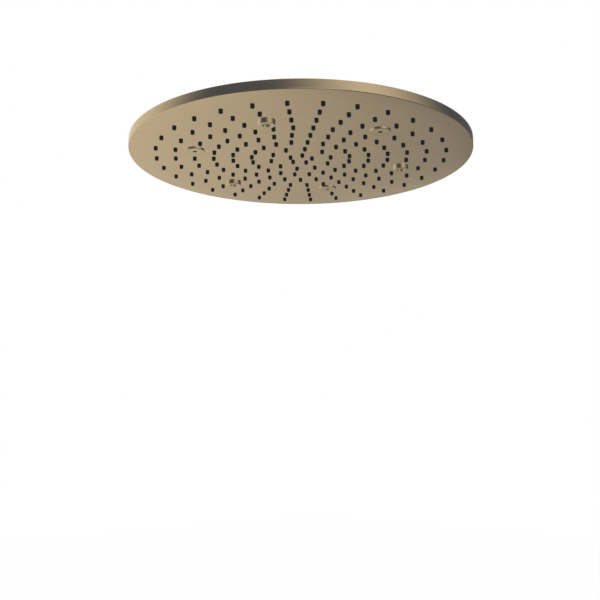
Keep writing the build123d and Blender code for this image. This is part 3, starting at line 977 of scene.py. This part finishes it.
class SHOWERHEAD_OT_ball_joint(bpy.types.Operator):
    """Build the collar nut with its wrench flats, and the ball, neck and threaded inlet nut in one piece"""

    bl_idname = "shower_head.ball_joint"
    bl_label = "Ball joint"

    def execute(self, context):
        self.collar()
        self.swivel()
        return {"FINISHED"}

    def collar(self):
        """A turned collar: spherical seat inside, open cone above, lower rows cut back to two flats."""
        low, high = (corner.z - BALL_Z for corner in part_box("collar_nut"))
        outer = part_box("collar_nut")[1].x
        seat = np.radians(np.linspace(*COLLAR_SEAT_LATITUDES, COLLAR_SEAT_ROWS))
        flats_top = low + FLATS_SHARE * (high - low)
        cone = high * np.tan(radians(CONE_ANGLE))
        inside = [(COLLAR_BORE, low), (COLLAR_BORE, COLLAR_BORE_TOP)]
        inside += [(COLLAR_SEAT * np.cos(a), COLLAR_SEAT * np.sin(a)) for a in seat]
        outside = rounded(
            [
                (cone, high, CONE_EDGE),
                (outer - COLLAR_SLOPE_WIDTH, high, COLLAR_TOP_EDGE),
                (outer, high - COLLAR_SLOPE_HEIGHT, COLLAR_SIDE_EDGE),
                (outer, low, 0),
            ]
        )[:-1].tolist()
        lower = [
            (outer, flats_top),
            (outer, flats_top - FLATS_STEP),
            (outer, low + COLLAR_CHAMFER),
            (outer - COLLAR_CHAMFER, low),
        ]
        rows = np.array(inside + outside + lower)
        radius = carried_round(rows[:, 0], COLLAR_FACETS)
        sine = np.abs(np.sin(even_turns(COLLAR_FACETS)[None]))
        flat = FLATS_APOTHEM / np.maximum(sine, SMALLEST_SINE)
        radius[-FLATS_ROWS:] = np.minimum(radius[-FLATS_ROWS:], flat)
        level = carried_round(rows[:, 1], COLLAR_FACETS) + BALL_Z
        piece(
            "collar_nut_turned",
            [surface(radius, level)],
            turned_bronze(),
            "head",
            ["collar_nut"],
            crease=COLLAR_CREASE,
        )

    def swivel(self):
        """Rows from the nut's mouth down its hexagon, neck and ball, then up the bore, pocket and thread."""
        turn = even_turns(SWIVEL_FACETS)[None]
        top = NUT_TOP_Z - BALL_Z
        nut_low = top - NUT_LENGTH
        nut_z, nut = self.nut(turn, top, nut_low)
        stem = self.stem(top, nut_low)
        thread_z, thread = self.thread(turn, top)
        mouth = carried_round([THREAD_MINOR + MOUTH_BEVEL], SWIVEL_FACETS)
        radius = np.vstack([nut, carried_round(stem[:, 0], SWIVEL_FACETS), thread, mouth])
        level = np.concatenate([nut_z, stem[:, 1], thread_z[:, 0], [top]])
        swivel = piece(
            "swivel_ball_turned",
            [surface(radius, carried_round(level, SWIVEL_FACETS) + BALL_Z)],
            turned_bronze(),
            "inlet",
            ["swivel_ball"],
            crease=SWIVEL_CREASE,
        )
        # Painted shade inside the nut and down the waterway: the dark colour stands in for the shade in these
        # hollows
        swivel.data.materials.append(shaded_bronze())
        middle = face_vectors(swivel.data, "center")
        reach = np.linalg.norm(middle[:, :2], axis=1)
        in_nut = reach < WASHER_GROOVE_RADIUS + INSIDE_NUT_MARGIN
        in_nut &= middle[:, 2] > nut_low + BALL_Z + INSIDE_NUT_MARGIN
        in_waterway = reach < WATERWAY_MARGIN_SHARE * WATERWAY_RADIUS
        set_finishes(swivel.data, in_nut | in_waterway)

    def nut(self, turn, top, nut_low):
        """Levels and reach of the hexagon: the lesser of its flats and the cones that chamfer both ends."""
        nut_z = np.concatenate([top - NUT_CHAMFER_ROWS, nut_low + NUT_CHAMFER_ROWS[::-1]])
        slope = np.tan(radians(NUT_CHAMFER_ANGLE))
        cone = NUT_APOTHEM + np.minimum(top - nut_z, nut_z - nut_low) / slope
        return nut_z, np.minimum(hexagon(NUT_APOTHEM, turn), cone[:, None])

    def stem(self, top, nut_low):
        """Neck, fillet and ball (R cos a, R sin a) outside, then waterway, pocket and washer seat inside."""
        neck_z = np.sqrt(BALL_RADIUS**2 - NECK_RADIUS**2)
        waterway_z = -np.sqrt(BALL_RADIUS**2 - WATERWAY_RADIUS**2)
        seat_z = top - WASHER_SEAT_DEPTH
        fall = np.radians(np.linspace(*BALL_LATITUDES, BALL_ROWS))
        rows = [(NECK_RADIUS, nut_low)]
        rows += [(NECK_RADIUS + out * MM, neck_z + rise * MM) for out, rise in NECK_FILLET]
        rows += [(BALL_RADIUS * np.cos(a), BALL_RADIUS * np.sin(a)) for a in fall]
        rows += [(WATERWAY_RADIUS, waterway_z), (WATERWAY_RADIUS, seat_z - POCKET_DEPTH)]
        rows += [(POCKET_RADIUS, seat_z - POCKET_DEPTH), (POCKET_RADIUS, seat_z)]
        rows += [(WASHER_GROOVE_RADIUS, seat_z), (WASHER_GROOVE_RADIUS, top - THREAD_END)]
        return np.array(rows)

    def thread(self, turn, top):
        """Levels and reach of the thread: a clipped triangle wave of height less angle, with faded ends."""
        size = sizes()
        low = top - THREAD_END
        high = top - THREAD_START
        thread_z = np.linspace(low, high, THREAD_ROWS)[:, None]
        phase = np.mod(thread_z / size.thread_pitch - turn / (2 * pi), 1)
        ridge = np.clip(FLANK_SLOPE * np.abs(2 * phase - 1) - ROOT_FLAT, 0, 1)
        upper_fade = np.clip((high - thread_z) / THREAD_RUN_OUT, 0, 1)
        lower_fade = np.clip((thread_z - low) / THREAD_RUN_OUT, 0, 1)
        return thread_z, THREAD_MINOR + size.thread_depth * ridge * upper_fade * lower_fade


class SHOWERHEAD_OT_finishes(bpy.types.Operator):
    """Give every CAD node that stays its finish"""

    bl_idname = "shower_head.finishes"
    bl_label = "Finishes"

    def execute(self, context):
        finishes = {
            "bronze": brushed_bronze(),
            "jet_bronze": polished_bronze(),
            "silicone": moulded_silicone(),
            "seal": seal_rubber(),
            "plastic": moulded_acetal(),
            "brass": turned_brass(),
            "steel": stainless_steel(),
        }
        for entry in frame["record"]["subparts"]:
            made = frame["nodes"][entry["node"]]
            made.visible_glossy = False
            made.data.materials.clear()
            made.data.materials.append(finishes[entry["material_slot"]])
        lock_ring = frame["nodes"]["lock_ring"]
        lock_ring.data.materials[0] = turned_bronze()
        lock_ring.visible_glossy = True
        return {"FINISHED"}


# Stage

# Studio: white where it is seen, a softer white as light, and a floor that glows for the most part
WHITE = (1, 1, 1, 1)
LIGHT_LEVEL = 0.6
SEEN_LEVEL = 1.0
FLOOR_Z = -1.4
FLOOR_SPAN = 8.0
FLOOR_GREY = "#E9E9E8"
FLOOR_ROUGHNESS = 0.9
FLOOR_GLOW_SHARE = 0.985

FLAG_GREY = "#616B84"
CARD_WHITE = "#FFFFFF"
CARD_WARM = "#7A746A"
FLAG_COLUMNS = 40
# Rows of a flag as distance from the head's axis, height and density
FLAG_ROWS = ((0.45, -0.79, 0.75), (1.8, -0.79, 0.75), (1.8, 0.0, 1.0), (1.8, 1.5, 1.0))
CARD_ROWS = ((0.29, -0.105, 0.0), (0.29, -0.095, 0.45), (0.29, -0.075, 0.45), (0.29, -0.065, 0.0))
FLOOR_ROWS = ((0.01, -0.78, 0.0), (0.06, -0.78, 1.0), (2.2, -0.78, 1.0), (3.2, -0.78, 0.0))
BELOW_ROWS = ((0.01, -0.775, 1.0), (0.2, -0.775, 1.0), (0.4, -0.775, 0.0))
RIM_ROWS = ((1.75, 0.05, 0.0), (1.75, 0.3, 1.0), (1.75, 1.0, 1.0), (1.75, 1.4, 0.0))
# Flags as name, colour, rows, middle angle, half of the full span, and the fade before and after it
FLAGS = (
    ("flag_left", FLAG_GREY, FLAG_ROWS, 190, 16, 62, 66),
    ("flag_right", FLAG_GREY, FLAG_ROWS, -8.2, 18.8, 76, 68),
    ("flag_floor", FLAG_GREY, FLOOR_ROWS, 262, 68, 40, 25),
    ("flag_below", FLAG_GREY, BELOW_ROWS, 46, 50, 60, 60),
    ("rim_card", CARD_WARM, RIM_ROWS, 27, 11, 16, 30),
    ("edge_card", CARD_WHITE, CARD_ROWS, 11, 12, 14, 25),
)
# Softboxes as name, place, width and power, all aimed at one point
LAMPS = (
    ("overhead_softbox", (-0.4, -0.5, 1.5), 1.4, 9.0),
    ("low_fill", (-0.9, -1.3, -0.45), 0.8, 2.0),
)
LAMP_TARGET = (0, 0, -0.05)

# Camera fitted to the photograph: its place, its right and up axes, and half a pixel as a slope
CAMERA_PLACE = (-0.66743, -0.70231, -0.38904)
CAMERA_AXES = ((0.72565, -0.68806, -0.00228), (-0.11119, -0.12053, 0.98646))
FOCAL_PIXELS = 855.2
HALF_PIXEL = 0.5 / FOCAL_PIXELS
SENSOR_WIDTH = 36.0
CLIP_START = 0.01
CLIP_END = 50.0


class SHOWERHEAD_OT_stage(bpy.types.Operator):
    """Set the white studio, its dark flags, lamps and camera"""

    bl_idname = "shower_head.stage"
    bl_label = "Stage"

    def execute(self, context):
        scene = context.scene
        scene.view_settings.view_transform = "Standard"
        self.world(scene)
        self.floor()
        for flag in FLAGS:
            self.flag(*flag)
        for lamp in LAMPS:
            self.lamp(*lamp)
        self.camera(scene)
        return {"FINISHED"}

    def background_rays(self, tree):
        """1 for rays that see the background: from the camera, off a gloss or through glass."""
        path = node(tree, "ShaderNodeLightPath")
        links = [(0, path, "Is Camera Ray"), (1, path, "Is Glossy Ray")]
        direct = node(tree, "ShaderNodeMath", (), links, operation="MAXIMUM")
        links = [(0, direct, "Value"), (1, path, "Is Transmission Ray")]
        return node(tree, "ShaderNodeMath", (), links, operation="MAXIMUM")

    def world(self, scene):
        """White where it is seen, and a softer white as light."""
        scene.world = bpy.data.worlds.new("studio")
        scene.world.use_nodes = True
        tree = scene.world.node_tree
        seen = self.background_rays(tree)
        level = node(
            tree,
            "ShaderNodeMapRange",
            [("To Min", LIGHT_LEVEL), ("To Max", SEEN_LEVEL)],
            [("Value", seen, "Value")],
        )
        tree.links.new(level.outputs["Result"], tree.nodes["Background"].inputs["Strength"])
        tree.nodes["Background"].inputs["Color"].default_value = WHITE

    def floor(self):
        """A pale floor that is white where it is seen, with a trace of the object's shadow."""
        corners = ((-1, -1), (1, -1), (1, 1), (-1, 1))
        points = [(x * FLOOR_SPAN, y * FLOOR_SPAN, FLOOR_Z) for x, y in corners]
        mesh = bpy.data.meshes.new("floor")
        mesh.from_pydata(points, [], [[0, 1, 2, 3]])
        material = bpy.data.materials.new("studio_floor")
        material.use_nodes = True
        tree = material.node_tree
        shader = tree.nodes["Principled BSDF"]
        shader.inputs["Base Color"].default_value = linear(FLOOR_GREY)
        shader.inputs["Roughness"].default_value = FLOOR_ROUGHNESS
        glow = node(tree, "ShaderNodeEmission", [("Color", WHITE), ("Strength", SEEN_LEVEL)])
        seen = self.background_rays(tree)
        share = node(
            tree,
            "ShaderNodeMath",
            [(1, FLOOR_GLOW_SHARE)],
            [(0, seen, "Value")],
            operation="MULTIPLY",
        )
        both = node(
            tree,
            "ShaderNodeMixShader",
            (),
            [(0, share, "Value"), (1, shader, "BSDF"), (2, glow, "Emission")],
        )
        tree.links.new(both.outputs["Shader"], tree.nodes["Material Output"].inputs["Surface"])
        mesh.materials.append(material)
        made = bpy.data.objects.new("floor", mesh)
        bpy.context.scene.collection.objects.link(made)

    def flag(self, name, colour, rows, middle, half, soft_from, soft_to):
        """A card that curves about the head's axis and fades out over soft angles, seen in gloss alone."""
        angle = np.linspace(middle - half - soft_from, middle + half + soft_to, FLAG_COLUMNS)
        turn = np.radians(angle)[None]
        rows = np.array(rows)
        reach = rows[:, :1]
        height = carried_round(rows[:, 1], FLAG_COLUMNS)
        points = np.stack([reach * np.cos(turn), reach * np.sin(turn), height], axis=-1)
        row, column = np.meshgrid(np.arange(len(rows) - 1), np.arange(FLAG_COLUMNS - 1), indexing="ij")
        first = (row * FLAG_COLUMNS + column).ravel()
        above = first + FLAG_COLUMNS
        faces = np.column_stack([first, first + 1, above + 1, above])
        mesh = bpy.data.meshes.new(name)
        mesh.from_pydata(points.reshape(-1, 3).tolist(), [], faces.tolist())
        veil = np.minimum((angle - angle[0]) / soft_from, (angle[-1] - angle) / soft_to).clip(0, 1)
        veil = veil * veil * (3 - 2 * veil)
        veil = (rows[:, 2:] * veil).ravel().astype(np.float32)
        mesh.attributes.new("veil", "FLOAT", "POINT").data.foreach_set("value", veil)
        material = bpy.data.materials.new(name)
        material.use_nodes = True
        tree = material.node_tree
        density = node(tree, "ShaderNodeAttribute", attribute_name="veil")
        clear = node(tree, "ShaderNodeBsdfTransparent")
        card = node(tree, "ShaderNodeEmission", [("Color", linear(colour)), ("Strength", 1.0)])
        both = node(
            tree,
            "ShaderNodeMixShader",
            (),
            [(0, density, "Fac"), (1, clear, "BSDF"), (2, card, "Emission")],
        )
        tree.links.new(both.outputs["Shader"], tree.nodes["Material Output"].inputs["Surface"])
        mesh.materials.append(material)
        made = bpy.data.objects.new(name, mesh)
        made.visible_camera = False
        made.visible_diffuse = False
        made.visible_shadow = False
        made.visible_transmission = False
        bpy.context.scene.collection.objects.link(made)

    def lamp(self, name, place, width, power):
        """A square softbox aimed at the head."""
        light = bpy.data.lights.new(name, "AREA")
        light.size = width
        light.energy = power
        made = bpy.data.objects.new(name, light)
        made.location = place
        made.rotation_euler = (Vector(LAMP_TARGET) - Vector(place)).to_track_quat("-Z", "Y").to_euler()
        bpy.context.scene.collection.objects.link(made)

    def camera(self, scene):
        """The photograph's view: from below and to one side, turned half a pixel to meet pixel centres."""
        lens = bpy.data.cameras.new("camera")
        lens.sensor_width = SENSOR_WIDTH
        lens.lens = sizes().camera_lens
        lens.clip_start = CLIP_START
        lens.clip_end = CLIP_END
        made = bpy.data.objects.new("camera", lens)
        right, up = (Vector(axis) for axis in CAMERA_AXES)
        forward = (up.cross(right) - right * HALF_PIXEL + up * HALF_PIXEL).normalized()
        right = forward.cross(up).normalized()
        up = right.cross(forward)
        turn = Matrix((right, up, -forward)).transposed().to_4x4()
        made.matrix_world = Matrix.Translation(CAMERA_PLACE) @ turn
        scene.collection.objects.link(made)
        scene.camera = made


OPERATORS = (
    SHOWERHEAD_OT_finishes,
    SHOWERHEAD_OT_face_pan,
    SHOWERHEAD_OT_nozzle_mat,
    SHOWERHEAD_OT_mist_jets,
    SHOWERHEAD_OT_spouts,
    SHOWERHEAD_OT_back_screws,
    SHOWERHEAD_OT_ball_joint,
    SHOWERHEAD_OT_stage,
)


class SHOWERHEAD_PT_panel(bpy.types.Panel):
    """List the shower head's operators and values"""

    bl_label = "Shower head"
    bl_idname = "SHOWERHEAD_PT_panel"
    bl_space_type = "VIEW_3D"
    bl_region_type = "UI"
    bl_category = "Shower head"

    def draw(self, context):
        for operator in OPERATORS:
            self.layout.operator(operator.bl_idname)
        for group in (sizes(), colours()):
            for name in group.__annotations__:
                self.layout.prop(group, name)


CLASSES = (ShowerHeadSizes, ShowerHeadColours, *OPERATORS, SHOWERHEAD_PT_panel)


def register():
    """Register the classes and hang the property groups on the scene."""
    for cls in CLASSES:
        bpy.utils.register_class(cls)
    bpy.types.Scene.shower_head_sizes = bpy.props.PointerProperty(type=ShowerHeadSizes)
    bpy.types.Scene.shower_head_colours = bpy.props.PointerProperty(type=ShowerHeadColours)


def unregister():
    """Take the property groups and the classes away again."""
    del bpy.types.Scene.shower_head_sizes
    del bpy.types.Scene.shower_head_colours
    for cls in reversed(CLASSES):
        bpy.utils.unregister_class(cls)


def main():
    """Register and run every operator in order."""
    register()
    for operator in OPERATORS:
        group, name = operator.bl_idname.split(".")
        getattr(getattr(bpy.ops, group), name)()


if __name__ == "__main__":
    main()
